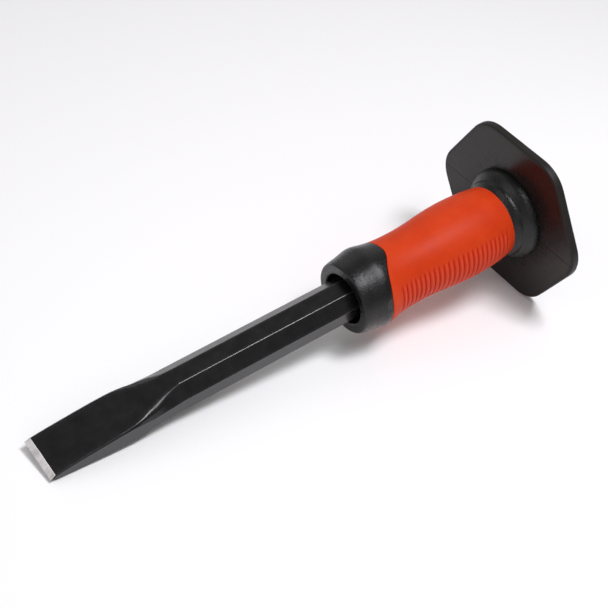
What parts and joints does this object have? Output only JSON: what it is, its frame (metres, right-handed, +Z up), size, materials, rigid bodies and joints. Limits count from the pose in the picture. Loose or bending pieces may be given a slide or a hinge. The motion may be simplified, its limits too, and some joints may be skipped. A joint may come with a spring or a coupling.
{
  "type": "cold chisel with hand guard",
  "caption": "Octagonal steel cold chisel with flat ground blade, soft ribbed grip on a hard sleeve, and hexagonal hand guard.",
  "frame": {"origin": "middle of the footprint of the tool lying at rest, on the surface it lies on", "axes": "+X from the cutting edge towards the struck head along the bench, +Y to the left seen from the cutting edge, +Z up; the tool's own axis climbs 8.67 degrees towards the head, because it lies on the guard's lower flat and the heel of the blade"},
  "size_m": [0.2982, 0.102, 0.0928],
  "materials": {
    "lacquered_steel": "black lacquer over forged steel, with a bare ground bevel at the cutting edge",
    "grained_plastic": "matte, finely grained",
    "soft_grip": "soft satin, ribbed at the sides",
    "satin_plastic": "satin moulded plate"
  },
  "bodies": {
    "root": {"chisel": "lacquered_steel", "grip_core": "grained_plastic", "grip_sleeve": "soft_grip", "hand_guard": "satin_plastic"}
  },
  "joints": []
}
